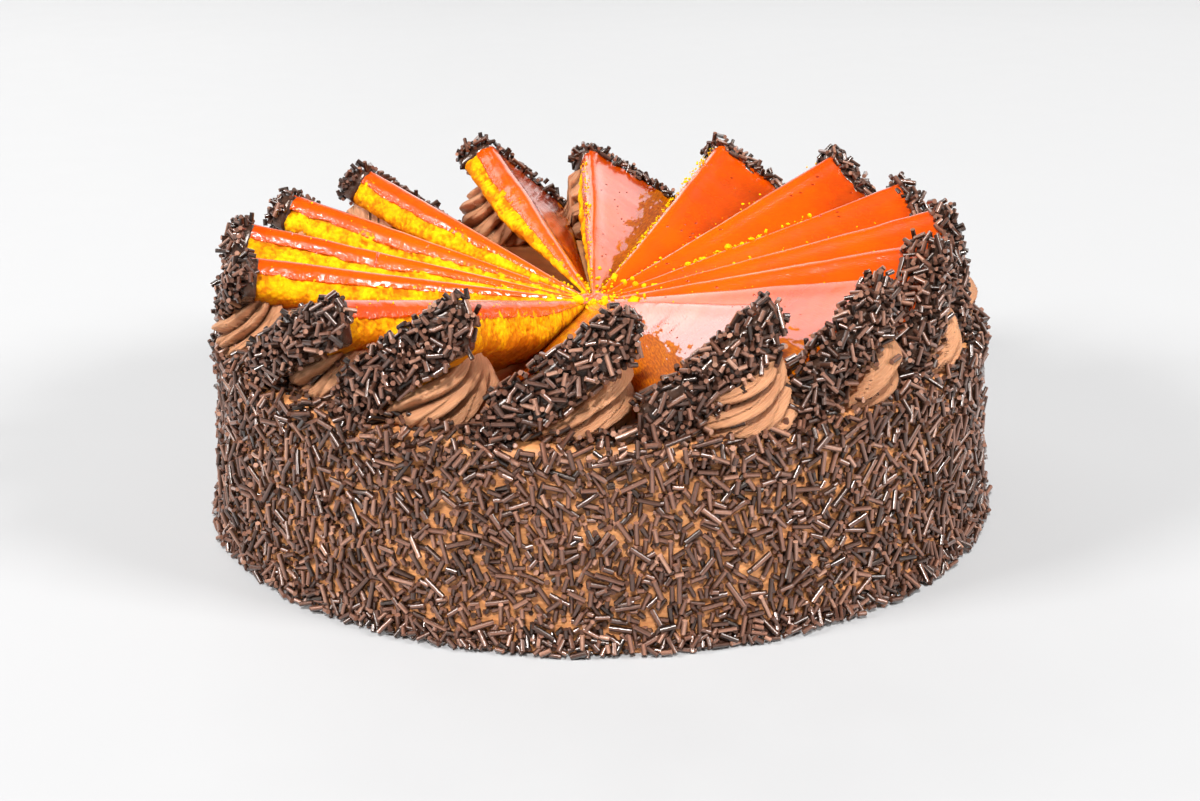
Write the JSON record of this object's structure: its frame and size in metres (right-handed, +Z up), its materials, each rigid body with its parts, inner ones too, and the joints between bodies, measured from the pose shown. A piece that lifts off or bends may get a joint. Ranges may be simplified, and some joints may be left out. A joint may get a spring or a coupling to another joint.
{
  "type": "dobos torte",
  "caption": "Round layer torte with sprinkled sides, topped by a fan of caramel-glazed sponge slices leaning on piped buttercream rosettes.",
  "frame": {"origin": "middle of the flat underside of the cake", "axes": "+Z up out of the cake's top, -Y towards the front that the picture shows, +X to the right"},
  "size_m": [0.264, 0.264, 0.097],
  "materials": {
    "sprinkles": "dark chocolate vermicelli with a soft sheen",
    "sponge": "open, crumbly egg-yellow sponge",
    "caramel": "glassy orange caramel",
    "buttercream": "satin chocolate buttercream"
  },
  "bodies": {
    "root": {"cake_body": "sprinkles", "sponge_01": "sponge", "sponge_02": "sponge", "sponge_03": "sponge", "sponge_04": "sponge", "sponge_05": "sponge", "sponge_06": "sponge", "sponge_07": "sponge", "sponge_08": "sponge", "sponge_09": "sponge", "sponge_10": "sponge", "sponge_11": "sponge", "sponge_12": "sponge", "sponge_13": "sponge", "sponge_14": "sponge", "sponge_15": "sponge", "sponge_16": "sponge", "caramel_01": "caramel", "caramel_02": "caramel", "caramel_03": "caramel", "caramel_04": "caramel", "caramel_05": "caramel", "caramel_06": "caramel", "caramel_07": "caramel", "caramel_08": "caramel", "caramel_09": "caramel", "caramel_10": "caramel", "caramel_11": "caramel", "caramel_12": "caramel", "caramel_13": "caramel", "caramel_14": "caramel", "caramel_15": "caramel", "caramel_16": "caramel", "rosette_01": "buttercream", "rosette_02": "buttercream", "rosette_03": "buttercream", "rosette_04": "buttercream", "rosette_05": "buttercream", "rosette_06": "buttercream", "rosette_07": "buttercream", "rosette_08": "buttercream", "rosette_09": "buttercream", "rosette_10": "buttercream", "rosette_11": "buttercream", "rosette_12": "buttercream", "rosette_13": "buttercream", "rosette_14": "buttercream", "rosette_15": "buttercream", "rosette_16": "buttercream"}
  },
  "joints": []
}
